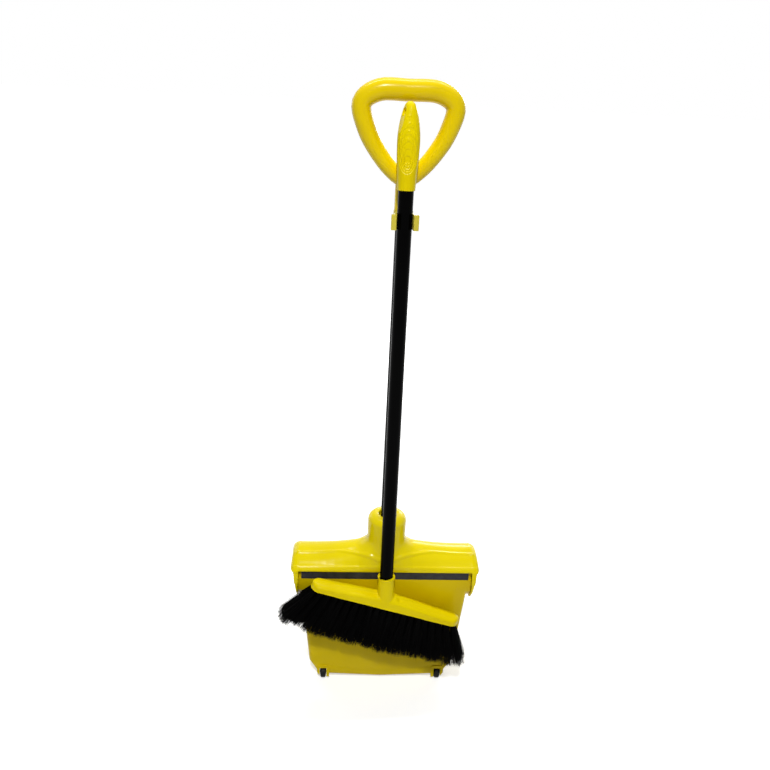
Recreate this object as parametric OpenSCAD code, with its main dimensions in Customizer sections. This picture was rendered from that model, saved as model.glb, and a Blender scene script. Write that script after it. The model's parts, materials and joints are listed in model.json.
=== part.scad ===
// Upright dust pan and brush set: a closable pan that hangs under a rolled hood on a tall
// tube with a loop grip, and a long-handled brush that snaps into a clip on that tube.
// The pan turns about a cross pin in each cheek of the hood. +Z is up, -Y is the front,
// and the origin is the middle of the rear foot, on the floor.

/* [Handle] */
// Outer diameter of both handle tubes
tube_d = 22; // [20:0.5:25]
// Wall of both handle tubes
tube_wall = 0.9; // [0.7:0.1:1.5]
// Height of the loop grip's top above the floor
total_h = 1020; // [960:1:1080]
// Width of the loop grip
loop_w = 158; // [140:1:175]
// Height of the loop grip from its top to the crotch of its arms
loop_h = 134; // [120:1:150]
// Thickness of the loop grip's top bar
loop_bar = 30; // [24:1:34]
// Thickness of the loop grip's arms where they meet
loop_arm = 25.5; // [20:0.5:28]
// Length of the sleeve under the loop grip
sleeve_l = 42.5; // [36:0.5:60]
// Wall of the sleeve and of every socket
sleeve_wall = 2.6; // [2:0.1:4]

/* [Hood] */
// How far each end of the hood reaches beyond the bucket
hood_reach = 16.5; // [15:0.5:22]
// Outer radius of the hood's roll
hood_r = 46.5; // [44:0.5:52]
// Wall of the hood and of the bucket
wall = 2.5; // [2:0.1:3.2]
// Height of the hinge above the floor
hinge_z = 216; // [205:1:230]
// Distance of the hinge behind the tube's axis
hinge_back = 8; // [4:0.5:12]
// Diameter of the neck that holds the tube
neck_d = 65; // [56:1:70]
// Height of the neck above the hinge
neck_h = 119; // [110:1:130]
// Diameter of the recess in the neck's top
neck_recess_d = 30; // [26:0.5:34]

/* [Bucket] */
// Width of the bucket at the hinge
bucket_w = 292; // [276:1:300]
// How much narrower the bucket is just above its cut corners
bucket_taper = 33; // [20:1:44]
// Depth of the bucket at its heel
heel_depth = 98; // [84:1:112]
// Height of the rubber lip
lip_h = 14; // [11:0.5:18]
// Thickness of the rubber lip
lip_t = 2.4; // [2:0.1:3]
// How far the bucket swings open
open_angle = 91; // [80:1:91]

/* [Wheels] */
// Diameter of a wheel
wheel_d = 21; // [18:0.5:24]
// Width of a wheel
wheel_w = 11; // [8:0.5:13]
// Distance of a wheel's middle from the bucket's side
wheel_inset = 25.5; // [23:0.5:34]
// Diameter of a wheel's axle
axle_d = 4; // [3:0.5:5]

/* [Brush] */
// Length of the brush head
head_l = 262; // [230:1:280]
// Depth of the brush head
head_depth = 31; // [30:1:38]
// Height of the brush head at its middle
head_h = 23.5; // [18:0.5:26]
// Slant of the brush head across its handle
head_slant = 16; // [8:0.5:20]
// Length of the bristles
bristle_l = 92; // [70:1:100]
// Spread of the outermost bristles at each end
bristle_spread = 27; // [10:0.5:30]
// Number of tufts in a row
tuft_count = 21; // [15:1:23]
// Diameter of a tuft at its root
tuft_d = 5.2; // [4:0.1:5.6]
// Length of the brush's hand grip
brush_grip_l = 117; // [105:1:130]
// Largest diameter of the brush's hand grip
brush_grip_d = 32; // [29:0.2:35]
// Diameter of the hanging eye
eye_d = 11; // [8:0.5:12]

/* [Clip] */
// Distance of the clip below the loop grip's sleeve
clip_space = 0.5; // [0.3:0.1:30]
// Height of the clip
clip_h = 22; // [18:0.5:32]
// Distance between the two tubes at the clip
clip_reach = 32; // [30:0.5:36]
// Forward lean of the brush, foot away from the pan
lean = 2.1; // [1.5:0.1:3]

/* [Fits] */
// Gap between pieces that move past each other
gap = 0.3; // [0.25:0.05:0.5]
// Radial clearance of a pin in the bore that turns on it
run = 0.08; // [0.04:0.01:0.1]
// Radial clearance of pieces that are pushed together
snug = 0.03; // [0.02:0.01:0.05]
// Diameter of a hinge pin
pin_d = 8; // [6:0.5:9]
// Diameter of a self-tapping screw's shank
screw_d = 3; // [2.5:0.5:4]

/* [Hidden] */
$fn = 64;

yellow = "#F0DC00";
grip_yellow = "#E2C800";
black = "#101010";
rubber = "#3C3C44";
steel = "#B8BCC0";

tube_r = tube_d / 2;
tube_in = tube_r - tube_wall;
socket_r = tube_r + snug;

// Side view of the pan, as [y, z] from the hinge's axis
hood_w = bucket_w + 2 * hood_reach;
rim_angle = 151;
hood_back_angle = 52;
hood_in = hood_r - wall;
roll_gap = 0.8;
roll_r = hood_in - roll_gap;
roll_top_angle = 55;
waist_angle = -45;
rim_q = hood_r * sin(rim_angle);
lip_q = rim_q - 3.2;
plate_top_p = -sqrt(roll_r * roll_r - lip_q * lip_q);
floor_gap = 4;
heel_q = floor_gap - hinge_z;
plate_slope = tan(open_angle - 90);
heel_front_p = plate_top_p + plate_slope * (lip_q - heel_q);
heel_back_p = heel_front_p + heel_depth;
waist_p = roll_r * cos(waist_angle);
waist_q = roll_r * sin(waist_angle);
back_slope = (heel_back_p - waist_p) / (waist_q - heel_q);

// The rear foot sets the origin
foot_w = 190;
foot_t = 8;
foot_p = heel_back_p - foot_t - 3;
hinge_y = -foot_p;
tube_y = hinge_y - hinge_back;

// Bucket
bucket_low_w = bucket_w - bucket_taper;
edge_r = 8;
corner_rise = 38;
cut_corner_w = 2 * (bucket_low_w / 2 - 14.5);
side_taper = (bucket_w - bucket_low_w) / 2 / (hinge_z - corner_rise - floor_gap);
body_top_q = 30;
rail_t = 5;
rib_root = 4;
rib_tail = 5.6;
rib_depth = 2.6;
lip_set_back = 0.6;
shoulder_r = roll_r - 1.5;
shoulder_drop = 37;

// Cheeks and hinge
cheek_drop = 39;
cheek_gap = 2.2;
cheek_flange = 9;
cheek_low_x = bucket_w / 2 + wall + cheek_gap;
cheek_rim_x = cheek_low_x + 6.5;
cheek_lean = atan((cheek_rim_x - cheek_low_x) / (rim_q + cheek_drop));
pin_r = pin_d / 2;
pin_face_x = bucket_w / 2 + 4.5;
pin_boss_x = cheek_rim_x + 0.5;
pin_head_t = 2.5;
pin_head_r = pin_r + 3.5;
bucket_boss_r = pin_r + 8;
bucket_boss_in = bucket_w / 2 - 4;
washer_t = 1.5;
washer_r = pin_r + 3;
end_draft = 9;

// Wheels
wheel_track = bucket_low_w - 2 * wheel_inset;
wheel_r = wheel_d / 2;
axle_r = axle_d / 2;
wheel_gap = 0.6;
leg_w = 22;
leg_h = wheel_d + 4;
leg_front_p = heel_front_p - 1.5;
wheel_p = leg_front_p + wheel_r - 2;
wheel_q = wheel_r - hinge_z;
leg_back_p = wheel_p + wheel_r + 4;

// Neck and tube
neck_r = neck_d / 2;
neck_round = 12;
socket_depth = 44;
recess_depth = 12;
tube_foot_q = neck_h - recess_depth - socket_depth;
tube_foot_z = hinge_z + tube_foot_q;
neck_screw_z = tube_foot_z + 30;

// Loop grip
loop_a = loop_w / 2;
bar_r = loop_bar / 2;
arm_r = loop_arm / 2;
loop_foot_z = total_h - loop_h;
sleeve_r = tube_r + sleeve_wall;
sleeve_z = loop_foot_z - sleeve_l;
tube_top_z = loop_foot_z + 2;
grip_screw_z = sleeve_z + 12;

// Clip
clip_z = sleeve_z - clip_space - clip_h / 2;

// Screws
screw_r = screw_d / 2;
screw_head_r = 2.2 * screw_r;
screw_head_t = 2;
screw_boss = 1;

// Brush, measured along its own axis from the clip's middle
head_z = 187.5;
head_drop = clip_z - head_z;
brush_socket_r = 13.2;
brush_socket_low_r = 15.2;
brush_socket_low = 6;
brush_socket_h = 57.5;
brush_socket_depth = 31;
head_back = 1;
socket_top = brush_socket_h - head_drop;
brush_tube_foot = socket_top - brush_socket_depth;
brush_grip_foot = clip_h / 2 + 32;
grip_bore_depth = 62;
brush_tube_top = brush_grip_foot + grip_bore_depth;
thread_r = 8;
thread_l = 12;
eye_h = 103;
eye_flat = 8.8;
eye_slope = 13;
eye_turn = 18;
pad_turn = -4;
pad_w = 25;
pad_l = 72;
hole_r = tuft_d / 2 + 0.1;
hole_depth = 9;
row_gap = 9;
row_fan = 3;
row_t = 7;
root_space = 0.7;

// ---- shared shapes ----

// A screw along +Y: its head's face lies at y = 0 and its shank points to -Y
module screw(length) {
    rotate([90, 0, 0]) {
        cylinder(h = length, r = screw_r);
        translate([0, 0, -screw_head_t]) cylinder(h = screw_head_t, r = screw_head_r);
    }
}

// A bar along X whose section is drawn as [y, z]
module along_x(length) {
    translate([-length / 2, 0, 0]) rotate([90, 0, 90]) linear_extrude(length) children();
}

module rod_x(x0, x1, r) {
    translate([x0, 0, 0]) rotate([0, 90, 0]) cylinder(h = x1 - x0, r = r);
}

module at_hinge() {
    translate([0, hinge_y, hinge_z]) children();
}

module at_tube() {
    translate([0, tube_y, 0]) children();
}

module at_brush() {
    translate([0, tube_y - clip_reach, clip_z]) rotate([-lean, 0, 0]) children();
}

module at_head() {
    at_brush() translate([0, head_back, -head_drop]) rotate([0, head_slant, 0]) children();
}

// Right side as drawn, left side mirrored
module on_side(side) {
    if (side < 0) mirror([1, 0, 0]) children();
    else children();
}

function arc(r, a0, a1, steps) = [for (i = [0:steps])
    let (a = a0 + (a1 - a0) * i / steps) r * [cos(a), sin(a)]];

function oval(a, b) = [for (i = [0:9:351]) [a * cos(i), b * sin(i)]];

// Closed skin through a list of rings of equal length, each ring closed on itself
module skin(rings, closed = false) {
    count = len(rings);
    size = len(rings[0]);
    last = closed ? count - 1 : count - 2;
    sides = [for (i = [0:last]) for (j = [0:size - 1])
        let (a = i * size + j, b = i * size + (j + 1) % size,
            c = ((i + 1) % count) * size + j, d = ((i + 1) % count) * size + (j + 1) % size)
        each [[a, b, d], [a, d, c]]];
    ends = closed ? [] : [[for (j = [size - 1:-1:0]) j], [for (j = [0:size - 1]) (count - 1) * size + j]];
    polyhedron(points = [for (ring = rings) each ring], faces = concat(sides, ends));
}

// Smooth curve through four neighbouring values, at t from 0 to 1 between the middle two
function glide(a, b, c, d, t) =
    0.5 * (2 * b + (c - a) * t + (2 * a - 5 * b + 4 * c - d) * t * t + (3 * b - a - 3 * c + d) * t * t * t);

// ---- handle ----

// Half of the loop's centre line, as [x, z, radius of the bar]
loop_half = [
    [0, total_h - bar_r, bar_r],
    [0.52 * loop_a, total_h - bar_r - 1, bar_r],
    [loop_a - bar_r + 1, total_h - 0.25 * loop_h, bar_r - 1],
    [0.735 * loop_a, total_h - 0.49 * loop_h, arm_r + 0.5],
    [0.555 * loop_a, total_h - 0.69 * loop_h, arm_r - 0.3],
    [0.28 * loop_a, total_h - 0.89 * loop_h, arm_r - 0.8],
    [0, loop_foot_z + 2, arm_r]];
loop_path = concat(loop_half,
    [for (i = [len(loop_half) - 2:-1:1]) let (p = loop_half[i]) [-p[0], p[1], p[2]]]);
loop_steps = 5;
loop_curve = [for (i = [0:len(loop_path) - 1]) for (k = [0:loop_steps - 1])
    let (p = loop_path, n = len(p))
    glide(p[(i + n - 1) % n], p[i], p[(i + 1) % n], p[(i + 2) % n], k / loop_steps)];

function loop_ring(i) =
    let (n = len(loop_curve), here = loop_curve[i], before = loop_curve[(i + n - 1) % n],
        after = loop_curve[(i + 1) % n], run_x = after[0] - before[0], run_z = after[1] - before[1],
        len = norm([run_x, run_z]), side = [-run_z / len, 0, run_x / len])
    [for (a = [0:24:336]) [here[0], 0, here[1]] + here[2] * (cos(a) * side + sin(a) * [0, 1, 0])];

module loop_grip() {
    color(grip_yellow) at_tube() difference() {
        union() {
            skin([for (i = [0:len(loop_curve) - 1]) loop_ring(i)], closed = true);
            translate([0, 0, sleeve_z]) cylinder(h = sleeve_l + 6, r = sleeve_r);
            translate([0, 0, grip_screw_z]) rotate([-90, 0, 0])
                cylinder(h = sleeve_r + screw_boss, r = screw_head_r + 1);
        }
        translate([0, 0, sleeve_z - 1]) cylinder(h = tube_top_z - sleeve_z + 1, r = socket_r);
        translate([0, 0, grip_screw_z]) rotate([-90, 0, 0]) cylinder(h = sleeve_r + 5, r = screw_r + snug);
    }
}

module loop_grip_screw() {
    color(steel) at_tube() translate([0, sleeve_r + screw_boss, grip_screw_z]) screw(sleeve_wall + 6);
}

module pan_tube() {
    color(black) at_tube() difference() {
        translate([0, 0, tube_foot_z]) cylinder(h = tube_top_z - tube_foot_z, r = tube_r);
        translate([0, 0, tube_foot_z - 1]) cylinder(h = tube_top_z - tube_foot_z + 2, r = tube_in);
        for (z = [neck_screw_z, clip_z, grip_screw_z])
            translate([0, 0, z]) rotate([-90, 0, 0]) cylinder(h = tube_r + 1, r = screw_r + snug);
    }
}

// ---- clip ----

jaw_t = 5;
jaw_r = tube_r + gap;
jaw_out = jaw_r + jaw_t;
jaw_tip = 19.7;
collar_wall = 3.4;

// Half of the jaw's section, from the back of the seat to the flared tip
jaw_side = let (tip = jaw_tip - jaw_r)
    [[0, 0], [0, -9], [1.2, -14], [tip, -13.2], [tip, -9.5], [jaw_t, -5], [jaw_t, 0]];

module jaws() {
    linear_extrude(clip_h, center = true) {
        difference() {
            circle(jaw_out);
            circle(jaw_r);
            translate([-jaw_out, -2 * jaw_out]) square(2 * jaw_out);
        }
        for (side = [-1, 1]) polygon([for (p = jaw_side) [side * (jaw_r + p[0]), p[1] + (p[1] == 0 ? 0.5 : 0)]]);
    }
}

module brush_clip() {
    color(yellow) difference() {
        union() {
            at_tube() translate([0, 0, clip_z - clip_h / 2]) cylinder(h = clip_h, r = tube_r + collar_wall);
            at_tube() translate([-7, -clip_reach + jaw_r + 1, clip_z - clip_h / 2])
                cube([14, clip_reach - jaw_r - tube_r, clip_h]);
            at_tube() translate([0, 0, clip_z]) rotate([-90, 0, 0])
                cylinder(h = tube_r + collar_wall + screw_boss, r = screw_head_r + 1);
            at_brush() jaws();
        }
        at_tube() translate([0, 0, clip_z - clip_h]) cylinder(h = 2 * clip_h, r = socket_r);
        at_brush() cylinder(h = 2 * clip_h, r = jaw_r, center = true);
        at_tube() translate([0, 0, clip_z]) rotate([-90, 0, 0]) cylinder(h = tube_r + 9, r = screw_r + snug);
    }
}

module clip_screw() {
    color(steel) at_tube() translate([0, tube_r + collar_wall + screw_boss, clip_z]) screw(collar_wall + 6);
}

// ---- hood ----

saddle_w = 145;
saddle_h = 17.5;
cove_w = 46;
cove_h = 9;
band_angle = 140;
band_t = 1.2;
end_lap = 0.4;
end_drop = 1;
end_in = bucket_w / 2 + side_taper * body_top_q + 2 * gap;
skin_w = 2 * (end_in + 1);
hood_angles = [for (i = [0:24]) hood_back_angle + (rim_angle - hood_back_angle) * i / 24];

// Rise of the roof towards the neck
function saddle(x) =
    saddle_h * pow(max(0, saddle_w - abs(x)) / (saddle_w - neck_r), 2)
    + cove_h * pow(max(0, cove_w - abs(x)) / (cove_w - neck_r), 2);

function hood_radius(x, a) =
    hood_r + min(saddle(x), saddle_h + cove_h) * sin(180 * (a - hood_back_angle) / (rim_angle - hood_back_angle))
    + band_t * min(1, max(0, (a - band_angle + 2) / 2));

function hood_section(x) = concat(
    [for (a = hood_angles) hood_radius(x, a) * [0, cos(a), sin(a)] + [x, 0, 0]],
    [for (i = [len(hood_angles) - 1:-1:0])
        let (a = hood_angles[i]) (hood_radius(x, a) - wall) * [0, cos(a), sin(a)] + [x, 0, 0]]);

module hood_roof() {
    middle = neck_r - 2;
    half = concat([skin_w / 2], [for (k = [8:-1:0]) middle + (saddle_w - middle) * k / 8]);
    stations = concat(half, [for (i = [len(half) - 1:-1:0]) -half[i]]);
    skin([for (x = stations) hood_section(x)]);
}

// Outline of a closed end, grown by the given amount and cut off below the rim
module end_outline(grow) {
    first = 20;
    last = rim_angle + 4;
    intersection() {
        polygon([for (i = [0:32]) let (a = first + (last - first) * i / 32)
            (hood_radius(skin_w / 2, a) + grow) * [cos(a), sin(a)]]);
        translate([-2 * hood_r, rim_q - end_drop]) square([4 * hood_r, 2 * hood_r]);
    }
}

// One closed end of the roof, leaning inwards towards its top, with a rounded edge
module hood_end() {
    round = 9;
    hull() {
        translate([end_in, 0, 0]) rotate([90, 0, 90]) linear_extrude(0.5) end_outline(end_lap);
        for (a = [0:30:90])
            translate([hood_w / 2, 0, rim_q]) rotate([0, -end_draft, 0])
                translate([-round * (1 - sin(a)) - 0.2, 0, -rim_q]) rotate([90, 0, 90])
                    linear_extrude(0.2) end_outline(end_lap - round * (1 - cos(a)));
    }
}

// Flat upright disc segment that leans outwards towards the rim, measured inwards from the cheek's outer face
module cheek_slab(r, from, to) {
    translate([cheek_low_x, 0, -cheek_drop]) rotate([0, cheek_lean, 0]) translate([-to, 0, cheek_drop])
        rotate([90, 0, 90]) linear_extrude(to - from) intersection() {
            circle(r);
            translate([-r, -cheek_drop]) square([2 * r, cheek_drop + rim_q + 3]);
        }
}

// A cheek with a flange round its edge that closes the gap beside the bucket
module cheek() {
    difference() {
        union() {
            difference() {
                cheek_slab(hood_r, 0, cheek_flange);
                cheek_slab(hood_r - wall, wall, cheek_flange + 1);
                translate([0, -2 * hood_r, -2 * hood_r]) cube([end_in + gap, 4 * hood_r, 4 * hood_r]);
            }
            rod_x(pin_face_x + gap, pin_boss_x, pin_head_r + 2);
        }
        rod_x(pin_face_x - 1, pin_boss_x + 1, pin_r + snug);
    }
}

// The neck's half section as [radius, height above the hinge]
neck_section = concat(
    [[0, 40], [neck_r, 40]],
    [for (p = arc(neck_round, 0, 90, 8)) p + [neck_r - neck_round, neck_h - neck_round]],
    [[0, neck_h]]);

// The tube's socket, the recess round its mouth and the drain hole at its foot
module neck_bore() {
    translate([0, 0, neck_h - recess_depth]) cylinder(h = recess_depth + 1, r = neck_recess_d / 2);
    translate([0, 0, tube_foot_q]) cylinder(h = neck_h, r = socket_r);
    cylinder(h = neck_h, r = socket_r - 4);
}

// Room inside the neck, open to the inside of the hood, round the tube's socket
module neck_core() {
    difference() {
        translate([0, 0, 30]) cylinder(h = neck_h - neck_round - 30, r = neck_r - wall);
        cylinder(h = neck_h, r = socket_r + sleeve_wall);
        for (turn = [45, 135])
            rotate([0, 0, turn]) translate([-neck_r, -wall / 2, 0]) cube([neck_d, wall, neck_h]);
        translate([0, 0, neck_h - recess_depth - 8]) cylinder(h = neck_h, r = neck_recess_d / 2 + sleeve_wall);
        translate([0, 0, neck_screw_z - hinge_z]) rotate([-90, 0, 0]) cylinder(h = neck_r, r = screw_head_r + 3);
    }
}

module hood() {
    color(yellow) at_hinge() difference() {
        union() {
            hood_roof();
            for (side = [-1, 1]) on_side(side) {
                hood_end();
                cheek();
            }
            difference() {
                translate([0, -hinge_back, 0]) rotate_extrude() polygon(neck_section);
                rod_x(-neck_r - 1, neck_r + 1, hood_in);
            }
        }
        translate([0, -hinge_back, 0]) {
            neck_core();
            neck_bore();
        }
        translate([0, -hinge_back, neck_screw_z - hinge_z]) rotate([-90, 0, 0]) {
            cylinder(h = neck_r + 1, r = screw_r + snug);
            translate([0, 0, socket_r + sleeve_wall]) cylinder(h = neck_r, r = screw_head_r + 0.5);
        }
    }
}

module neck_screw() {
    color(steel) translate([0, tube_y + socket_r + sleeve_wall, neck_screw_z]) screw(sleeve_wall + 6);
}

module hinge_pin(side) {
    color(black) at_hinge() on_side(side) {
        rod_x(bucket_boss_in - gap - washer_t - 2, pin_boss_x, pin_r);
        rod_x(pin_boss_x, pin_boss_x + pin_head_t, pin_head_r);
    }
}

module hinge_pin_left() {
    hinge_pin(-1);
}

module hinge_pin_right() {
    hinge_pin(1);
}

module pin_washer(side) {
    color(steel) at_hinge() on_side(side) difference() {
        rod_x(bucket_boss_in - gap - washer_t, bucket_boss_in - gap, washer_r);
        rod_x(bucket_boss_in - 9, bucket_boss_in, pin_r + snug);
    }
}

module pin_washer_left() {
    pin_washer(-1);
}

module pin_washer_right() {
    pin_washer(1);
}

// ---- bucket ----

function plate_p(q) = plate_top_p + plate_slope * (lip_q - q);
function back_p(q) = waist_p + back_slope * (waist_q - q);
function side_x(q) = bucket_w / 2 + side_taper * q;

// Flat-walled pan: one ball in each corner, all of one radius, so a smaller ball gives an even wall
module pan_form(r) {
    hull() {
        for (x = [-1, 1]) for (back = [0, 1]) {
            for (q = [body_top_q, heel_q + corner_rise])
                pan_corner(x * (side_x(q) - edge_r), q, back, r);
            pan_corner(x * (cut_corner_w / 2 - edge_r), heel_q + 5 + edge_r, back, r);
        }
        for (back = [0, 1]) pan_corner(0, heel_q + edge_r, back, r);
    }
}

module pan_corner(x, q, back, r) {
    translate([x, back == 1 ? back_p(q) - edge_r : plate_p(q) + edge_r, q]) sphere(r, $fn = 20);
}

// Curved rear wall that rolls up inside the hood
module roll_form(r, half_w) {
    intersection() {
        rod_x(-half_w, half_w, r);
        translate([-half_w, 0, -hood_r]) cube([2 * half_w, hood_r, 2 * hood_r]);
    }
}

// Straight-sided shoulder that fills the space between the bucket's side and the cheek
module shoulder() {
    intersection() {
        rod_x(bucket_w / 2 - 20, end_in - gap, shoulder_r);
        translate([0, plate_p(0), -shoulder_drop]) cube([bucket_w, 2 * hood_r, 2 * hood_r]);
    }
}

// What is cut away to make the mouth, seen from the side
mouth = [[-60, lip_q - 1], [4, lip_q - 1], 0.93 * roll_r * [cos(roll_top_angle), sin(roll_top_angle)],
    1.6 * roll_r * [cos(roll_top_angle), sin(roll_top_angle)], [-60, 75]];

module lip_rib(grow) {
    face_p = plate_top_p + lip_set_back + lip_t;
    mid_q = lip_q - lip_h / 2 - 1;
    root = rib_root / 2 + grow;
    tail = rib_tail / 2 + grow;
    polygon([[face_p - 0.01, mid_q - root], [face_p + rib_depth + grow, mid_q - tail],
        [face_p + rib_depth + grow, mid_q + tail], [face_p - 0.01, mid_q + root]]);
}

// Seen from the front, a wheel's housing follows the cut corner
leg_outline = let (half = leg_w / 2)
    [[-half, 0], [half - 6, 0], [half, 10], [half, leg_h - 3], [half - 3, leg_h], [3 - half, leg_h], [-half, leg_h - 3]];

module wheel_leg() {
    translate([wheel_track / 2, leg_back_p, heel_q + 2]) rotate([90, 0, 0])
        linear_extrude(leg_back_p - leg_front_p) polygon(leg_outline);
}

module wheel_slot() {
    half = wheel_w / 2 + wheel_gap;
    translate([wheel_track / 2 - half, leg_front_p - 1, heel_q - 1]) {
        cube([2 * half, wheel_p - leg_front_p + 1, wheel_d + 1]);
        cube([2 * half, wheel_p + wheel_r + 1.5 - leg_front_p, wheel_r - floor_gap + 3]);
    }
    translate([0, wheel_p, wheel_q]) rod_x(wheel_track / 2 - half, wheel_track / 2 + half, wheel_r + 1.5);
}

module bucket() {
    color(yellow) at_hinge() difference() {
        union() {
            difference() {
                union() {
                    pan_form(edge_r);
                    roll_form(roll_r, bucket_w / 2);
                    for (side = [-1, 1]) on_side(side) shoulder();
                }
                pan_form(edge_r - wall);
                roll_form(roll_r - wall, bucket_w / 2 - wall);
                along_x(bucket_w + 20) polygon(mouth);
            }
            along_x(bucket_w) polygon([[plate_p(0), lip_q - 1], [plate_p(0), lip_q - lip_h - 5],
                [plate_top_p + rail_t, lip_q - lip_h], [plate_top_p + rail_t + 2, lip_q - 1]]);
            for (side = [-1, 1]) on_side(side) {
                rod_x(bucket_boss_in, pin_face_x, bucket_boss_r);
                wheel_leg();
            }
            translate([-foot_w / 2, foot_p - foot_t / 2, -hinge_z]) cube([foot_w, foot_t, floor_gap + wall]);
        }
        along_x(bucket_w + 10) {
            translate([plate_top_p - 5, lip_q - lip_h - gap]) square([5 + lip_set_back + lip_t, lip_h + 5]);
            lip_rib(0.1);
        }
        for (side = [-1, 1]) on_side(side) {
            rod_x(bucket_boss_in - 1, pin_face_x + 1, pin_r + run);
            wheel_slot();
            translate([0, wheel_p, wheel_q])
                rod_x(wheel_track / 2 - leg_w / 2 + wall, wheel_track / 2 + leg_w / 2 - wall, axle_r + snug);
        }
    }
}

module lip_strip() {
    color(rubber) at_hinge() along_x(bucket_w - 4) {
        translate([plate_top_p + lip_set_back, lip_q - lip_h]) square([lip_t, lip_h]);
        lip_rib(0);
    }
}

// ---- wheels ----

module axle(side) {
    color(steel) at_hinge() on_side(side) translate([0, wheel_p, wheel_q])
        rod_x(wheel_track / 2 - leg_w / 2 + wall + 0.1, wheel_track / 2 + leg_w / 2 - wall - 0.1, axle_r);
}

module axle_left() {
    axle(-1);
}

module axle_right() {
    axle(1);
}

// Wheel's half section as [radius, distance along the axle]
wheel_section = let (w = wheel_w / 2, r = wheel_r)
    [[axle_r + run, -w], [axle_r + 2.5, -w], [axle_r + 3.5, -w + 1.5], [r - 3, -w + 1.5], [r - 2, -w + 0.5],
    [r, -w + 2.5], [r, w - 2.5], [r - 2, w - 0.5], [r - 3, w - 1.5], [axle_r + 3.5, w - 1.5], [axle_r + 2.5, w],
    [axle_r + run, w]];

module wheel(side) {
    color(black) at_hinge() on_side(side) translate([wheel_track / 2, wheel_p, wheel_q])
        rotate([0, 90, 0]) rotate_extrude() polygon(wheel_section);
}

module wheel_left() {
    wheel(-1);
}

module wheel_right() {
    wheel(1);
}

// ---- brush ----

// The hand grip as [height, half width, half depth]
grip_form = let (l = brush_grip_l, r = brush_grip_d / 2) [
    [0, r - 3.2, r - 3.2], [0.15 * l, r - 2.2, r - 2.2], [0.3 * l, r - 1, r - 1], [0.46 * l, r - 0.2, r - 0.2],
    [0.58 * l, r, r], [0.68 * l, r - 0.9, r - 0.9], [0.76 * l, r - 2, r - 1.8], [0.83 * l, r - 3.8, r - 2.8],
    [0.89 * l, r - 6, r - 4], [0.94 * l, r - 8, r - 6], [0.98 * l, r - 10.5, r - 9.5], [l, 1.2, 1.6]];

function grip_ring(row, grow) = [for (a = [0:18:342])
    [(row[1] + grow) * cos(a), -(row[2] + grow) * sin(a), row[0]]];

module grip_body(grow) {
    f = grip_form;
    last = len(f) - 1;
    skin([for (i = [0:last]) for (k = [0:(i == last ? 0 : 1)])
        grip_ring(glide(f[max(0, i - 1)], f[i], f[min(last, i + 1)], f[min(last, i + 2)], k / 2), grow)]);
}

// Raised oval ridges under the thumb, nested towards their lower end
module thumb_pad() {
    intersection() {
        grip_body(0.6);
        for (k = [0:3]) let (a = pad_w / 2 - 2.6 * k, b = pad_l / 2 - 6.5 * k)
            translate([0, 0, 0.54 * brush_grip_l - 3.4 * k]) rotate([90, 0, 0])
                linear_extrude(brush_grip_d) difference() {
                    polygon(oval(a, b));
                    polygon(oval(a - 0.9, b - 0.9));
                }
    }
}

module brush_grip() {
    color(yellow) at_brush() translate([0, 0, brush_grip_foot]) rotate([0, 0, eye_turn]) difference() {
        union() {
            grip_body(0);
            rotate([0, 0, pad_turn - eye_turn]) thumb_pad();
        }
        translate([0, 0, -1]) cylinder(h = brush_tube_top - brush_grip_foot + 1.5, r = socket_r);
        for (side = [-1, 1]) on_side(side)
            translate([eye_flat, 0, eye_h]) rotate([0, -eye_slope, 0]) translate([0, -brush_grip_d, -brush_grip_l])
                cube([brush_grip_d, 2 * brush_grip_d, 2 * brush_grip_l]);
        translate([0, 0, eye_h]) rod_x(-brush_grip_d, brush_grip_d, eye_d / 2);
    }
}

module brush_tube() {
    color(black) at_brush() difference() {
        translate([0, 0, brush_tube_foot]) cylinder(h = brush_tube_top - brush_tube_foot, r = tube_r);
        translate([0, 0, brush_tube_foot - 1]) cylinder(h = brush_tube_top - brush_tube_foot + 2, r = tube_in);
    }
}

// Plug in the tube's foot whose thread screws into the brush head
module brush_ferrule() {
    color(black) at_brush() translate([0, 0, brush_tube_foot]) {
        cylinder(h = 26, r = tube_in - snug);
        translate([0, 0, -thread_l]) cylinder(h = thread_l, r = thread_r);
    }
}

// The head's outline seen from above has round ends, and its back is domed
function head_section(x, depth, height) = concat(
    [[x, depth, 0]],
    [for (a = [0:15:180]) [x, depth * cos(a), height * (0.45 + 0.55 * sin(a))]],
    [[x, -depth, 0]]);

module head_body() {
    round_r = head_depth / 2;
    straight = head_l / 2 - round_r;
    low_h = 0.6 * head_h;
    half = concat(
        [for (a = [84, 66, 48, 30, 15]) [straight + round_r * sin(a), round_r * cos(a), low_h - 3 * (1 - cos(a))]],
        [for (t = [1, 0.8, 0.6, 0.4, 0.2, 0])
            [straight * t, round_r, low_h + (head_h - low_h) * pow(cos(90 * t), 1.5)]]);
    rows = concat(half, [for (i = [len(half) - 2:-1:0]) [-half[i][0], half[i][1], half[i][2]]]);
    skin([for (r = rows) head_section(r[0], r[1], r[2])]);
}

function tuft_x(i) = (head_l - 2 * tuft_d - 14) * (i / (tuft_count - 1) - 0.5);
function tuft_lean(i) = bristle_spread * (2 * i / (tuft_count - 1) - 1);

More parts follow.
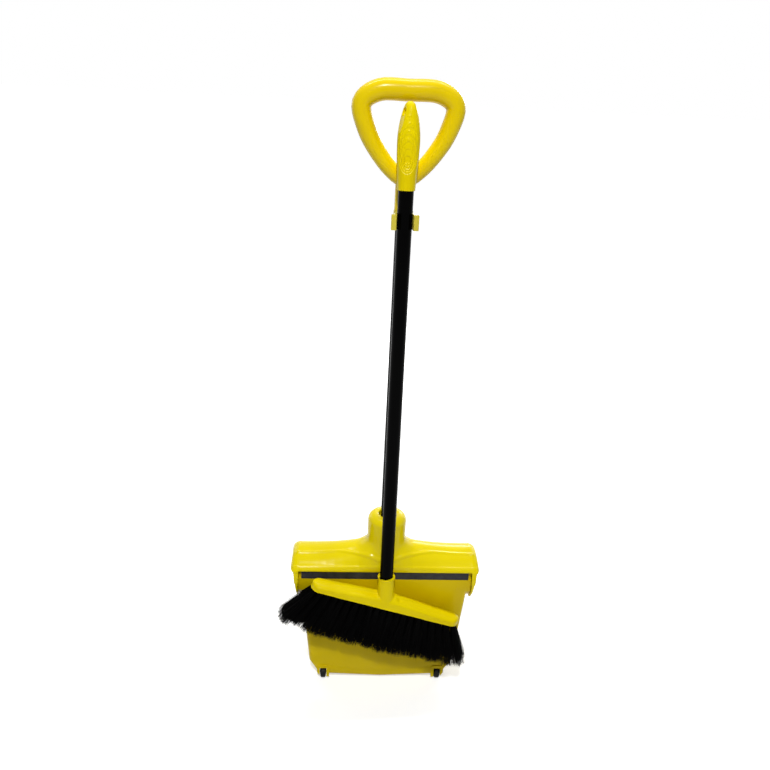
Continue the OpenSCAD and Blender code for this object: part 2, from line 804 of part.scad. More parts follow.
module brush_head() {
    color(yellow) difference() {
        union() {
            at_head() head_body();
            at_brush() {
                translate([0, 0, brush_socket_low - head_drop])
                    cylinder(h = brush_socket_h - brush_socket_low, r1 = brush_socket_low_r, r2 = brush_socket_r);
                translate([0, 0, socket_top - 3]) cylinder(h = 3, r = brush_socket_r + 1.6);
            }
        }
        at_brush() {
            translate([0, 0, brush_tube_foot]) cylinder(h = brush_socket_depth + 1, r = socket_r);
            translate([0, 0, brush_tube_foot - thread_l - 0.5]) cylinder(h = thread_l + 1, r = thread_r + snug);
        }
        at_head() for (row = [-1, 0, 1]) for (i = [0:tuft_count - 1])
            translate([tuft_x(i), row * row_gap, -1]) cylinder(h = hole_depth + 1, r = hole_r, $fn = 24);
    }
}

// A tuft seen from the front, as a wedge that opens out downwards into its neighbours
module tuft_wedge(i) {
    turn = tuft_lean(i);
    half = (tuft_x(1) - tuft_x(0) + bristle_l * sin(tuft_lean(1) - tuft_lean(0))) / 2 + 0.4;
    translate([tuft_x(i), 0]) rotate(turn)
        polygon([[-tuft_d / 2, 0.01], [-half, -bristle_l], [half, -bristle_l], [tuft_d / 2, 0.01]]);
}

// One row of bristles: round roots in the head's holes, and the filaments below as one soft curtain
module bristle_row(row) {
    color(black) at_head() translate([0, row * row_gap, 0]) {
        for (i = [0:tuft_count - 1])
            translate([tuft_x(i), 0, -2]) cylinder(h = hole_depth, r = tuft_d / 2, $fn = 24);
        rotate([row * row_fan, 0, 0]) rotate([90, 0, 0]) linear_extrude(row_t, center = true) intersection() {
            union() {
                for (i = [0:tuft_count - 1]) tuft_wedge(i);
                translate([tuft_x(0), -3]) square([2 * tuft_x(tuft_count - 1), 2]);
            }
            translate([-head_l, -2 * bristle_l]) square([2 * head_l, 2 * bristle_l - root_space]);
        }
    }
}

module bristles_front() {
    bristle_row(-1);
}

module bristles_middle() {
    bristle_row(0);
}

module bristles_rear() {
    bristle_row(1);
}

// Flat wire staples that hold the tufts at the bottom of their holes
module tuft_anchors() {
    color(steel) at_head() for (row = [-1, 0, 1]) for (i = [0:tuft_count - 1])
        translate([tuft_x(i), row * row_gap, hole_depth - 1]) cube([0.5, tuft_d - 1, 1.8], center = true);
}

loop_grip();
loop_grip_screw();
pan_tube();
brush_clip();
clip_screw();
hood();
neck_screw();
hinge_pin_left();
hinge_pin_right();
pin_washer_left();
pin_washer_right();
bucket();
lip_strip();
axle_left();
axle_right();
wheel_left();
wheel_right();
brush_grip();
brush_tube();
brush_ferrule();
brush_head();
bristles_front();
bristles_middle();
bristles_rear();
tuft_anchors();
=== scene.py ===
import json
import math
import random

import bmesh
import bpy
from mathutils import Matrix, Vector


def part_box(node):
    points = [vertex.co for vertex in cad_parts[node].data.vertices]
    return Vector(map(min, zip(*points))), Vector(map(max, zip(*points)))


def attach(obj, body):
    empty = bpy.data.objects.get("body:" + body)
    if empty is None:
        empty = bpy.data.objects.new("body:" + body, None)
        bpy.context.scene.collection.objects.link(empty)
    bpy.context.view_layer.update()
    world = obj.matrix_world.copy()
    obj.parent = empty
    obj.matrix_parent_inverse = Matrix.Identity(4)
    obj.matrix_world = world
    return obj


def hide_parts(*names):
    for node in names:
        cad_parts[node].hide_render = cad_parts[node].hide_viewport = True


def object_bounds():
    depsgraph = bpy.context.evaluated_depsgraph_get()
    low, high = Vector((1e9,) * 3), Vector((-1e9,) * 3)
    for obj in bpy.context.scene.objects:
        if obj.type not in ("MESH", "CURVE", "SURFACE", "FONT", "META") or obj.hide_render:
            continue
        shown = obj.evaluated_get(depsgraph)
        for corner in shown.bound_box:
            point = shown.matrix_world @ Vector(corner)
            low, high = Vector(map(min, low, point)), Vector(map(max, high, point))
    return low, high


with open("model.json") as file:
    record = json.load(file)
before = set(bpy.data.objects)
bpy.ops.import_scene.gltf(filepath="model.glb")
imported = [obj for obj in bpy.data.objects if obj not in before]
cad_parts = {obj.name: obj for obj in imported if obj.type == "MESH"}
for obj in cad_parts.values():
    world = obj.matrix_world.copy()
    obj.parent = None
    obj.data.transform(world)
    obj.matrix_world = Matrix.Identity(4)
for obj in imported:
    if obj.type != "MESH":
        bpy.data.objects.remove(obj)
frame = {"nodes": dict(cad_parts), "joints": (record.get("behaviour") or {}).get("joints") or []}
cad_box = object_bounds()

MM = 0.001
UP = Vector((0, 0, 1))

# ---------------------------------------------------------------- camera

# The camera stands in front of the set, a little to its left, and looks down at it
EYE = Vector((-0.0822, -1.1591, 1.0081))
EYE_TURN = math.radians(3.52)
EYE_TILT = math.radians(21.73)
EYE_ROLL = math.radians(2.75)
LENS = 34.95
SENSOR_W = 36


def place_camera():
    ahead = Vector((math.sin(EYE_TURN) * math.cos(EYE_TILT), math.cos(EYE_TURN) * math.cos(EYE_TILT),
                    -math.sin(EYE_TILT)))
    level_right = ahead.cross(UP).normalized()
    level_up = level_right.cross(ahead)
    right = level_right * math.cos(EYE_ROLL) + level_up * math.sin(EYE_ROLL)
    top = right.cross(ahead)
    camera = bpy.data.objects.new("camera", bpy.data.cameras.new("camera"))
    camera.data.lens = LENS
    camera.data.sensor_width = SENSOR_W
    camera.data.clip_start, camera.data.clip_end = 0.05, 50
    camera.matrix_world = Matrix((
        (right.x, top.x, -ahead.x, EYE.x),
        (right.y, top.y, -ahead.y, EYE.y),
        (right.z, top.z, -ahead.z, EYE.z),
        (0, 0, 0, 1)))
    bpy.context.scene.collection.objects.link(camera)
    bpy.context.scene.camera = camera


# ---------------------------------------------------------------- materials


def paint(hex_colour):
    """An sRGB hex colour as linear RGBA."""
    parts = [int(hex_colour[i:i + 2], 16) / 255 for i in (1, 3, 5)]
    return tuple(c / 12.92 if c <= 0.04045 else ((c + 0.055) / 1.055) ** 2.4 for c in parts) + (1.0,)


def add(tree, kind, inputs=None, **settings):
    """Adds a shader node. Settings are its own properties; inputs are values or sockets for its sockets."""
    made = tree.nodes.new("ShaderNode" + kind)
    for name, value in settings.items():
        setattr(made, name, value)
    for name, value in (inputs or {}).items():
        socket = made.inputs[name]
        if isinstance(value, bpy.types.NodeSocket):
            tree.links.new(value, socket)
        else:
            socket.default_value = value
    return made


def new_material(name):
    material = bpy.data.materials.new(name)
    material.use_nodes = True
    material.node_tree.nodes.clear()
    return material, material.node_tree


def finish_material(tree, shader):
    tree.links.new(shader.outputs[0], add(tree, "OutputMaterial").inputs["Surface"])


def per(millimetres):
    """Noise scale whose features are about this many millimetres across."""
    return 1 / (millimetres * MM)


def grain(tree, place, size, detail=2.0, rough=0.5):
    return add(tree, "TexNoise", {"Vector": place, "Scale": per(size), "Detail": detail, "Roughness": rough})


def ramp(tree, source, low, high, dark, light):
    return add(tree, "MapRange", {"Value": source, "From Min": low, "From Max": high,
                                  "To Min": dark, "To Max": light})


def two_tone(tree, source, low, high, colour, shade, most=1):
    """Goes from one colour to the other where the source goes from low to high."""
    share = ramp(tree, source, low, high, 0, most).outputs[0]
    mix = add(tree, "Mix", {"Factor": share, "A": paint(colour), "B": paint(shade)}, data_type="RGBA")
    return mix.outputs["Result"]


def bump(tree, height, strength, millimetres, **under):
    """Relief from a noise, on top of the normal that it is given, if any."""
    sockets = {"Height": height.outputs["Fac"], "Strength": strength, "Distance": millimetres * MM}
    return add(tree, "Bump", {**sockets, **under}).outputs[0]


def moulded_plastic(name, colour, shade, roughness, index=1.19):
    """Injection-moulded polypropylene: an even, slightly waxy gloss, with sink marks that bend the
    highlights, a fine spark-eroded grain, and faint rub marks from use."""
    material, tree = new_material(name)
    place = add(tree, "TexCoord").outputs["Object"]
    cloud = grain(tree, place, 70, 3).outputs["Fac"]
    tone = two_tone(tree, cloud, 0.3, 0.7, colour, shade)
    # Rub marks: 0.8 mm wide and some 14 mm long, which only change the gloss
    stretched = add(tree, "Mapping", {"Vector": place, "Rotation": (0.5, 0.3, 0.7), "Scale": (1, 0.06, 1)})
    rubs = grain(tree, stretched.outputs[0], 0.8, 2, 0.6).outputs["Fac"]
    rubbed = ramp(tree, rubs, 0.55, 0.8, roughness, roughness + 0.16).outputs[0]
    # Grain of 0.6 mm, coarser than the real 0.05 mm so that it shows, and sink marks of 25 mm
    fine = bump(tree, grain(tree, place, 0.6, 2), 0.12, 0.02)
    sink = bump(tree, grain(tree, place, 25, 1), 0.35, 0.2, Normal=fine)
    shader = add(tree, "BsdfPrincipled", {"Base Color": tone, "Roughness": rubbed,
                                          "Normal": sink, "IOR": index})
    finish_material(tree, shader)
    return material


def powder_coat(name):
    """Black powder coat on steel tube: deep gloss black over a fine orange peel, with a few dust specks."""
    material, tree = new_material(name)
    place = add(tree, "TexCoord").outputs["Object"]
    specks = grain(tree, place, 1.4, 1).outputs["Fac"]
    tone = two_tone(tree, specks, 0.66, 0.74, "#010101", "#0C0C0C", 0.35)
    haze = ramp(tree, grain(tree, place, 30, 3).outputs["Fac"], 0.3, 0.7, 0.16, 0.28)
    peel = bump(tree, grain(tree, place, 1.2, 1), 0.1, 0.02)
    shader = add(tree, "BsdfPrincipled", {"Base Color": tone, "Roughness": haze.outputs[0],
                                          "Normal": peel, "IOR": 1.09})
    finish_material(tree, shader)
    return material


def soft_rubber(name):
    """Extruded thermoplastic rubber: dark bluish grey and matt, with fine drawing lines along it and dust."""
    material, tree = new_material(name)
    place = add(tree, "TexCoord").outputs["Object"]
    dust = grain(tree, place, 18, 4, 0.6).outputs["Fac"]
    tone = two_tone(tree, dust, 0.35, 0.7, "#222226", "#3A3A3E")
    along = add(tree, "Mapping", {"Vector": place, "Scale": (0.02, 1, 1)})
    lines = bump(tree, grain(tree, along.outputs[0], 0.7, 1), 0.3, 0.05)
    shader = add(tree, "BsdfPrincipled", {"Base Color": tone, "Roughness": 0.62, "Normal": lines, "IOR": 1.3})
    finish_material(tree, shader)
    return material


def black_nylon(name):
    """Moulded nylon of the wheels and pins: matt black, scuffed grey where it runs."""
    material, tree = new_material(name)
    place = add(tree, "TexCoord").outputs["Object"]
    scuffs = grain(tree, place, 2.2, 4, 0.65).outputs["Fac"]
    tone = two_tone(tree, scuffs, 0.5, 0.75, "#040404", "#131211")
    pits = bump(tree, grain(tree, place, 0.8, 2), 0.3, 0.05)
    shader = add(tree, "BsdfPrincipled", {"Base Color": tone, "Roughness": 0.5, "Normal": pits, "IOR": 1.25})
    finish_material(tree, shader)
    return material


def zinc_steel(name):
    """Zinc-plated steel of screws, washers and axles: pale blue-grey metal with turning marks."""
    material, tree = new_material(name)
    place = add(tree, "TexCoord").outputs["Object"]
    blotch = grain(tree, place, 3, 3).outputs["Fac"]
    tone = two_tone(tree, blotch, 0.3, 0.7, "#B4B9BE", "#8E9398")
    marks = bump(tree, grain(tree, place, 0.4, 1), 0.2, 0.02)
    worn = ramp(tree, blotch, 0.3, 0.7, 0.25, 0.42).outputs[0]
    shader = add(tree, "BsdfPrincipled", {"Base Color": tone, "Metallic": 1.0, "Roughness": worn,
                                          "Normal": marks})
    finish_material(tree, shader)
    return material


def bristle_fibre(name):
    """Extruded black polyester filament: near black, a little paler in strands, with a soft sheen."""
    material, tree = new_material(name)
    place = add(tree, "TexCoord").outputs["Object"]
    strands = grain(tree, place, 3, 2).outputs["Fac"]
    tone = two_tone(tree, strands, 0.4, 0.75, "#010101", "#050404")
    shader = add(tree, "BsdfPrincipled", {"Base Color": tone, "Roughness": 0.6, "IOR": 1.1})
    finish_material(tree, shader)
    return material


def dress(piece, material):
    piece.data.materials.clear()
    piece.data.materials.append(material)


# ---------------------------------------------------------------- modelling helpers


def only(piece):
    """Makes a piece the only one selected and the active one."""
    bpy.ops.object.select_all(action="DESELECT")
    piece.select_set(True)
    bpy.context.view_layer.objects.active = piece


def smooth(piece, angle):
    only(piece)
    bpy.ops.object.shade_smooth_by_angle(angle=math.radians(angle))


def apply_all(piece):
    only(piece)
    for modifier in list(piece.modifiers):
        bpy.ops.object.modifier_apply(modifier=modifier.name)


def copy_of(node, name, body):
    """A welded copy of a CAD node, which stands for it."""
    piece = bpy.data.objects.new(name, frame["nodes"][node].data.copy())
    bpy.context.scene.collection.objects.link(piece)
    only(piece)
    bpy.ops.object.mode_set(mode="EDIT")
    bpy.ops.mesh.select_all(action="SELECT")
    bpy.ops.mesh.remove_doubles(threshold=0.004 * MM)
    bpy.ops.mesh.customdata_custom_splitnormals_clear()
    bpy.ops.object.mode_set(mode="OBJECT")
    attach(piece, body)
    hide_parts(node)
    return piece


def remesh(piece, size):
    """An even, closed skin over a moulding, fine enough to carry fillets and creases."""
    skin = piece.modifiers.new("skin", "REMESH")
    skin.mode = "VOXEL"
    skin.voxel_size = size
    skin.use_smooth_shade = True
    apply_all(piece)


def weigh(piece, name, weight):
    """A vertex group whose weights come from a function of a vertex's place and normal."""
    group = piece.vertex_groups.new(name=name)
    for vertex in piece.data.vertices:
        amount = weight(vertex.co, vertex.normal)
        if amount > 0.001:
            group.add([vertex.index], min(amount, 1), "REPLACE")
    return name


def relax(piece, group, steps):
    """Melts the surface where the group has weight, which turns a sharp inner corner into a fillet."""
    melt = piece.modifiers.new("melt", "SMOOTH")
    melt.factor = 0.5
    melt.iterations = steps
    melt.vertex_group = group
    apply_all(piece)


def push(piece, group, height):
    """Moves the surface out by the height where the group has weight, or in if the height is negative."""
    push_out = piece.modifiers.new("push", "DISPLACE")
    push_out.mid_level = 0
    push_out.strength = height
    push_out.direction = "NORMAL"
    push_out.vertex_group = group
    apply_all(piece)


def fade(value, start, end):
    """1 up to the start, 0 from the end on, and a smooth slope between."""
    t = min(max((value - start) / (end - start), 0), 1)
    return 1 - t * t * (3 - 2 * t)


# ---------------------------------------------------------------- mouldings

HINGE = next(Vector(j["pos_m"]) for j in frame["joints"] if j["name"] == "pan_hinge")
NECK_Y = sum(c.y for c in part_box("pan_tube")) / 2
TUBE_D = 22 * MM
ROOF_R = 74 * MM

# Everything of the hood further than this from the hinge is its outer shell
SHELL_R = 45 * MM

# The neck's root, whose fillet fades out over these distances from the neck and from the roof's top
NECK_R = 32.5 * MM
NECK_WALL = 3 * MM
ROOT_START, ROOT_END = 8 * MM, 34 * MM
ROOT_BELOW, ROOT_ABOVE = 4 * MM, 22 * MM
ROOT_ANGLES = (130, 139)
ROOT_STEPS = 260

# Voxel sizes of the mouldings' skins
HOOD_VOXEL = 1.35 * MM
GRIP_VOXEL = 0.5 * MM
CLIP_VOXEL = 0.5 * MM
HEAD_VOXEL = 0.8 * MM

# The crease across the hood: its angle round the hinge at the ends, how far it dips at the neck, and where
RIDGE_H = 1.6 * MM
RIDGE_ANGLE = 110
RIDGE_DIP = 21
RIDGE_WIDTH = 5
DIP_START = 85 * MM
DIP_RUN = 70 * MM

# The raised band along the hood's rim
BAND_H = 1.0 * MM
BAND_ANGLE = 139.5
BAND_EDGE = 1.5

# The grip's front is turned this far from the brush's, and is smoothed between two heights
GRIP_TURN = math.radians(-4)
GRIP_CORE_R = 5 * MM
PAD_LOW, PAD_HIGH = 20, 104
PAD_STEPS = 25
CLIP_STEPS = 14

# The thumb dish: nested ovals, in millimetres up and across from the grip's foot
DISH_STEPS = 5
DISH_DEPTH = 3.8 * MM
DISH_LOW, DISH_LOW_STEP = 22, 3.6
DISH_HIGH, DISH_HIGH_STEP = 85, 9.5
DISH_HALF_W, DISH_HALF_W_STEP = 14.2, 2.1
DISH_EDGE = 0.7

# The hollows beside the brush head's rib, and its flange
HOLLOW_DEPTH = 3.6 * MM
HOLLOW_INNER, HOLLOW_OUTER = 0.16, 0.92
HOLLOW_END, HOLLOW_TAPER = 106 * MM, 80 * MM
SOCKET_CLEAR = (13 * MM, 21 * MM)
HEAD_HALF_DEPTH = 15.5 * MM
FLANGE_H = 0.7 * MM


def hinge_angle(place):
    """Angle of a point round the hinge, from the back over the top to the front, in degrees."""
    return math.degrees(math.atan2(place.z - HINGE.z, place.y - HINGE.y))


def outer(place, normal):
    """Whether a point is on the outside of the hood's roof or neck."""
    radial = Vector((0, place.y - HINGE.y, place.z - HINGE.z))
    return radial.length > SHELL_R and normal.dot(radial) > -0.2 * radial.length


def hood_moulding():
    piece = copy_of("hood", "hood_moulding", "handle")
    remesh(piece, HOOD_VOXEL)
    roof_top = HINGE.z + ROOF_R

    def neck_root(place, normal):
        if not outer(place, normal):
            return 0
        away = math.hypot(place.x, place.y - NECK_Y)
        side = fade(away, NECK_R + ROOT_START, NECK_R + ROOT_END)
        height = fade(place.z, roof_top - ROOT_BELOW, roof_top + ROOT_ABOVE)
        return side * height * fade(hinge_angle(place), *ROOT_ANGLES) * (away > NECK_R - NECK_WALL)

    def ridge(place, normal):
        if not outer(place, normal):
            return 0
        dip = max(0, min(1, (DIP_START - abs(place.x)) / DIP_RUN))
        past = hinge_angle(place) - RIDGE_ANGLE - RIDGE_DIP * dip ** 1.3
        return fade(abs(past), 0, RIDGE_WIDTH)

    def band(place, normal):
        return outer(place, normal) and 1 - fade(hinge_angle(place), BAND_ANGLE, BAND_ANGLE + BAND_EDGE)

    relax(piece, weigh(piece, "neck_root", neck_root), ROOT_STEPS)
    push(piece, weigh(piece, "ridge", ridge), RIDGE_H)
    push(piece, weigh(piece, "band", band), BAND_H)
    return piece


def end_middles(node):
    """Middles of a long node's left and right ends."""
    low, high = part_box(node)
    points = [v.co for v in frame["nodes"][node].data.vertices]
    left = [p for p in points if p.x < low.x + 8 * MM]
    right = [p for p in points if p.x > high.x - 8 * MM]
    return sum(left, Vector()) / len(left), sum(right, Vector()) / len(right)


def brush_axis():
    """The brush tube's direction, from its foot to its top."""
    low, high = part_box("brush_tube")
    return Vector((0, high.y - low.y - TUBE_D, high.z - low.z)).normalized()


def grip_moulding():
    """The brush's hand grip, with a thumb dish that steps down in nested ovals."""
    piece = copy_of("brush_grip", "brush_grip_moulding", "brush")
    remesh(piece, GRIP_VOXEL)
    low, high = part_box("brush_grip")
    up = brush_axis()
    foot = Vector((0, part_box("brush_tube")[1].y - TUBE_D / 2, low.z))
    facing = Vector((math.sin(GRIP_TURN), -math.cos(GRIP_TURN), 0))
    across = Vector((math.cos(GRIP_TURN), math.sin(GRIP_TURN), 0))

    def facing_point(place, normal):
        """Place on the grip's front as millimetres across and up from its foot, or None elsewhere."""
        here = place - foot
        if normal.dot(facing) < 0.1 or here.dot(facing) < GRIP_CORE_R:
            return None
        return here.dot(across) / MM, here.dot(up) / MM

    def pad(place, normal):
        spot = facing_point(place, normal)
        return spot is not None and PAD_LOW < spot[1] < PAD_HIGH

    def dish(place, normal):
        spot = facing_point(place, normal)
        if spot is None:
            return 0
        steps = 0
        for k in range(DISH_STEPS):
            low = DISH_LOW + DISH_LOW_STEP * k
            high = DISH_HIGH - DISH_HIGH_STEP * k
            half_w = DISH_HALF_W - DISH_HALF_W_STEP * k
            reach = math.hypot(spot[0] / half_w, (2 * spot[1] - low - high) / (high - low))
            steps += fade(reach, 1 - DISH_EDGE / half_w, 1)
        return steps / DISH_STEPS

    relax(piece, weigh(piece, "pad", pad), PAD_STEPS)
    push(piece, weigh(piece, "dish", dish), -DISH_DEPTH)
    return piece


def clip_moulding():
    """The clip that holds the brush, with the rounded edges of a moulding."""
    piece = copy_of("brush_clip", "brush_clip_moulding", "handle")
    remesh(piece, CLIP_VOXEL)
    relax(piece, weigh(piece, "all", lambda place, normal: 1), CLIP_STEPS)
    return piece


def head_axes():
    """The brush head's middle, and its directions to the right, up and to the back."""
    left, right = end_middles("brush_head")
    along = (right - left).normalized()
    back = brush_axis().cross(along).normalized()
    return (left + right) / 2, along, along.cross(back).normalized(), back


def head_moulding():
    """The brush head, whose back rises to the socket in a rib with a hollow on each side of it."""
    piece = copy_of("brush_head", "brush_head_moulding", "brush")
    remesh(piece, HEAD_VOXEL)
    middle, along, up, back = head_axes()
    underside = min((v.co - middle).dot(up) for v in piece.data.vertices)

    def hollow(place, normal):
        here = place - middle
        side, depth = abs(here.dot(along)), abs(here.dot(back)) / HEAD_HALF_DEPTH
        if normal.dot(up) < 0.2 or not HOLLOW_INNER < depth < HOLLOW_OUTER:
            return 0
        taper = max(0, min(1, (HOLLOW_END - side) / HOLLOW_TAPER)) * (1 - fade(side, *SOCKET_CLEAR))
        return taper * math.sin(math.pi * ((depth - HOLLOW_INNER) / (HOLLOW_OUTER - HOLLOW_INNER)) ** 0.7)

    def flange(place, normal):
        height = (place - middle).dot(up) - underside
        return abs(normal.dot(up)) < 0.6 and fade(height, 2.2 * MM, 3 * MM)

    push(piece, weigh(piece, "hollow", hollow), -HOLLOW_DEPTH)
    push(piece, weigh(piece, "flange", flange), FLANGE_H)
    return piece


# ---------------------------------------------------------------- bristles


def loose_parts(node):
    """Middles of the separate solids of a CAD node."""
    made = bmesh.new()
    made.from_mesh(frame["nodes"][node].data)
    bmesh.ops.remove_doubles(made, verts=made.verts, dist=0.01 * MM)
    left, middles = set(made.verts), []
    while left:
        front, part = [left.pop()], []
        while front:
            here = front.pop()
            part.append(here.co.copy())
            for edge in here.link_edges:
                other = edge.other_vert(here)
                if other in left:
                    left.discard(other)
                    front.append(other)
        middles.append(sum(part, Vector()) / len(part))
    made.free()
    return middles


FILAMENT = 0.6 * MM
FILAMENT_L = 92 * MM
FILAMENTS = 270
FILAMENT_CUTS = (-0.3, -0.6, -0.85)
FLARE = math.radians(32)
ROW_FAN = math.radians(3)

# How far the filaments of a tuft spread: sideways, outwards, and at random
TUFT_R = 2.3 * MM
SIDE_SPREAD = 0.07
OUT_SPREAD = 0.06
SIDE_STRAY = 0.018
DEPTH_STRAY = 0.02
SIDE_BEND = 1.5 * MM
DEPTH_BEND = 1.4 * MM
RUN_STRAY = 0.016

# How much a whole tuft differs from its neighbours: its lean along and across the head, and its length
TUFT_SWING = 0.02
TUFT_FAN = 0.012
TUFT_RUN = 0.03


def filament_mesh():
    """One upright filament of unit length that hangs from the origin, with a pointed end."""
    bpy.ops.object.select_all(action="DESELECT")
    bpy.ops.mesh.primitive_cone_add(vertices=3, radius1=0.45, radius2=1, depth=1, end_fill_type="NOTHING",
                                    location=(0, 0, -0.5))
    filament = bpy.context.object
    bpy.ops.object.transform_apply()
    bpy.ops.object.mode_set(mode="EDIT")
    for level in FILAMENT_CUTS:
        bpy.ops.mesh.select_all(action="SELECT")
        bpy.ops.mesh.bisect(plane_co=(0, 0, level), plane_no=(0, 0, 1))
    bpy.ops.object.mode_set(mode="OBJECT")
    corners = [v.co.copy() for v in filament.data.vertices]
    faces = [tuple(p.vertices) for p in filament.data.polygons]
    bpy.data.objects.remove(filament)
    return corners, faces


def stray(draw, usual):
    """A random amount to either side, never more than twice the usual one."""
    return min(max(draw.gauss(0, usual), -2 * usual), 2 * usual)


def tuft(points, faces, root, ahead, lateral, length, draw, shape):
    """Adds one tuft's filaments to the lists: they leave the root together and spread on the way down."""
    corners, sides = shape
    depth = ahead.cross(lateral).normalized()
    lateral = depth.cross(ahead).normalized()
    for _ in range(FILAMENTS):
        angle = draw.uniform(0, 2 * math.pi)
        reach = math.sqrt(draw.random())
        spread = draw.uniform(-1, 1) * SIDE_SPREAD
        out = lateral * math.cos(angle) + depth * math.sin(angle)
        foot = root + out * reach * TUFT_R
        aim = ahead + out * reach * OUT_SPREAD + lateral * (spread + stray(draw, SIDE_STRAY))
        aim = aim + depth * stray(draw, DEPTH_STRAY)
        aim.normalize()
        bend = lateral * stray(draw, SIDE_BEND) + depth * stray(draw, DEPTH_BEND)
        run = length * (1 - abs(stray(draw, RUN_STRAY)))
        side = aim.cross(depth).normalized()
        front = side.cross(aim)
        turn = draw.uniform(0, 2 * math.pi)
        first = len(points)
        for c in corners:
            along = -c.z
            wide = FILAMENT / 2 * (c.x * math.cos(turn) - c.y * math.sin(turn))
            deep = FILAMENT / 2 * (c.x * math.sin(turn) + c.y * math.cos(turn))
            points.append(foot + aim * run * along + bend * along * along + side * wide + front * deep)
        faces.extend(tuple(first + i for i in face) for face in sides)


def bristle_rows():
    """The three rows of tufts that stand for the plain bristle solids, each tuft on its own staple."""
    left, right = end_middles("brush_head")
    half = (right - left).length / 2
    centre, along, up, depth = head_axes()
    down = -up
    roots = loose_parts("tuft_anchors")
    offsets = sorted((r - centre).dot(depth) for r in roots)
    front_edge, rear_edge = offsets[len(roots) // 6], offsets[-len(roots) // 6]
    middle = (front_edge + rear_edge) / 2
    third = (rear_edge - front_edge) / 4
    shape = filament_mesh()
    draw = random.Random(7)
    rows = {}
    for root in sorted(roots, key=lambda r: (r.x, r.y)):
        across = (root - centre).dot(depth) - middle
        key = "rear" if across > third else "front" if across < -third else "middle"
        rows.setdefault(key, []).append((root, across))
    made = []
    for key, members in sorted(rows.items()):
        points, faces = [], []
        for root, across in members:
            share = (root - centre).dot(along) / half
            swing = FLARE * abs(share) ** 1.9 * (1 if share > 0 else -1) + stray(draw, TUFT_SWING)
            fan = ROW_FAN * across / max(abs(third * 2), 1e-6) + stray(draw, TUFT_FAN)
            ahead = (down + along * math.tan(swing) + depth * math.tan(fan)).normalized()
            length = FILAMENT_L * (1 - abs(stray(draw, TUFT_RUN)))
            tuft(points, faces, root, ahead, along, length, draw, shape)
        mesh = bpy.data.meshes.new("bristle_row_" + key)
        mesh.from_pydata(points, [], faces)
        piece = bpy.data.objects.new("bristle_row_" + key, mesh)
        bpy.context.scene.collection.objects.link(piece)
        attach(piece, "brush")
        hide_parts("bristles_" + key)
        made.append(piece)
    return made


# ---------------------------------------------------------------- stage


def seen_directly(tree):
    """1 where the camera, a reflection or a see-through part shows the background, 0 where it only lights."""
    path = add(tree, "LightPath")
    plain = add(tree, "Math", {0: path.outputs["Is Camera Ray"], 1: path.outputs["Is Glossy Ray"]},
                operation="MAXIMUM")
    return add(tree, "Math", {0: plain.outputs[0], 1: path.outputs["Is Transmission Ray"]},
               operation="MAXIMUM").outputs[0]


def stage_material():
    """White floor: lit like paper round the set, so that it keeps the shadow, and plain white further out."""
    material, tree = new_material("white_floor")
    seen = seen_directly(tree)
    place = add(tree, "TexCoord").outputs["Object"]
    out = add(tree, "VectorMath", {0: place}, operation="LENGTH")
    far = add(tree, "MapRange", {"Value": out.outputs["Value"], "From Min": 0.5, "From Max": 1.6},
              interpolation_type="SMOOTHSTEP")
    glow_level = add(tree, "MapRange", {"Value": far.outputs[0], "To Min": 0.55, "To Max": 1.0})
    lift = add(tree, "Math", {0: seen, 1: glow_level.outputs[0]}, operation="MULTIPLY")
    paper = add(tree, "BsdfDiffuse", {"Color": (0.8, 0.8, 0.8, 1)})
    glow = add(tree, "Emission", {"Color": (1, 1, 1, 1), "Strength": lift.outputs[0]})
    both = add(tree, "AddShader", {0: paper.outputs[0], 1: glow.outputs[0]})
    finish_material(tree, both)
    return material


def build_stage():
    bpy.ops.object.select_all(action="DESELECT")
    bpy.ops.mesh.primitive_plane_add(size=400, location=(0, 0, cad_box[0].z))
    floor = bpy.context.object
    floor.name = "floor"
    floor.data.materials.append(stage_material())
    world = bpy.data.worlds.new("studio")
    world.use_nodes = True
    tree = world.node_tree
    tree.nodes.clear()
    level = add(tree, "MapRange", {"Value": seen_directly(tree), "To Min": 0.03, "To Max": 1.0})
    sky = add(tree, "Background", {"Color": (1, 1, 1, 1), "Strength": level.outputs[0]})
    tree.links.new(sky.outputs[0], add(tree, "OutputWorld").inputs["Surface"])
    bpy.context.scene.world = world


def lamp(name, place, target, size, power):
    data = bpy.data.lights.new(name, "AREA")
    data.shape = "RECTANGLE"
    data.size, data.size_y = size
    data.energy = power
    light = bpy.data.objects.new(name, data)
    light.location = place
    light.rotation_mode = "QUATERNION"
    light.rotation_quaternion = (Vector(target) - Vector(place)).to_track_quat("-Z", "Y")
    bpy.context.scene.collection.objects.link(light)


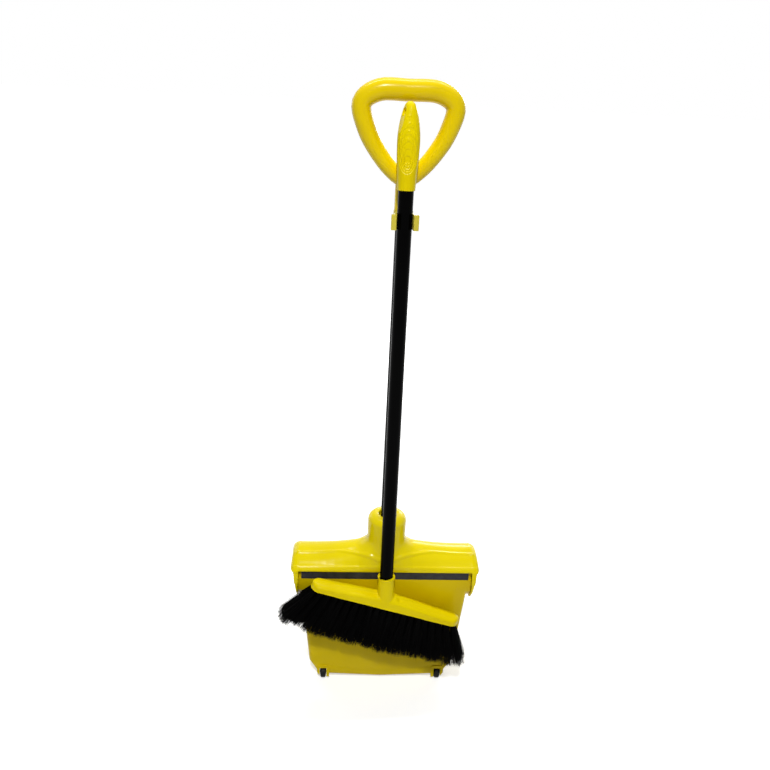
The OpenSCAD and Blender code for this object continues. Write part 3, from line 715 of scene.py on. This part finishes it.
def build_lights():
    lamp("key", (-0.15, -1.95, 2.65), (0, 0, 0.3), (0.12, 0.12), 58)
    lamp("ceiling_tube", (0, 0.6, 2.8), (0, 0, 0.3), (2.4, 0.12), 33)
    lamp("back_fill", (0.6, 2.4, 1.3), (0, 0, 0.5), (1.4, 0.5), 26)
    for side, name in ((-1, "left_fill"), (1, "right_fill")):
        lamp(name, (1.5 * side, 1.5, 0.8), (0, 0, 0.5), (0.8, 1.4), 5)


# ---------------------------------------------------------------- the set

place_camera()
bpy.context.scene.view_settings.view_transform = "Standard"

hood_plastic = moulded_plastic("hood_polypropylene", "#F0DC00", "#E9D300", 0.2, 1.24)
bucket_plastic = moulded_plastic("bucket_polypropylene", "#E4C900", "#DABF00", 0.28)
grip_plastic = moulded_plastic("grip_polypropylene", "#ECD000", "#E4C600", 0.22, 1.24)
brush_plastic = moulded_plastic("brush_polypropylene", "#F0DA00", "#E8D000", 0.3)
clip_plastic = moulded_plastic("clip_polypropylene", "#D6C648", "#C9B83C", 0.34)
tube_coat = powder_coat("black_powder_coat")
lip_rubber = soft_rubber("lip_rubber")
nylon = black_nylon("black_nylon")
plated = zinc_steel("zinc_plated_steel")
fibre = bristle_fibre("polyester_filament")

BY_SLOT = {"hood_yellow": hood_plastic, "bucket_yellow": bucket_plastic, "grip_yellow": grip_plastic,
           "brush_yellow": brush_plastic, "tube_black": tube_coat, "wheel_black": nylon, "pin_black": nylon,
           "lip_rubber": lip_rubber, "bristle_black": fibre, "steel": plated}

for name, node in frame["nodes"].items():
    slot_name = node.data.materials[0].name if node.data.materials else ""
    dress(node, BY_SLOT.get(slot_name.split(".")[0], nylon))

for node, piece_name, body, slot_name in (
        ("loop_grip", "loop_grip_moulding", "handle", "grip_yellow"),
        ("bucket", "bucket_moulding", "bucket", "bucket_yellow")):
    piece = copy_of(node, piece_name, body)
    dress(piece, BY_SLOT[slot_name])
    smooth(piece, 32)

for piece, plastic in ((hood_moulding(), hood_plastic), (grip_moulding(), brush_plastic),
                       (head_moulding(), brush_plastic), (clip_moulding(), clip_plastic)):
    dress(piece, plastic)
    smooth(piece, 50)

for row in bristle_rows():
    dress(row, fibre)

build_stage()
build_lights()
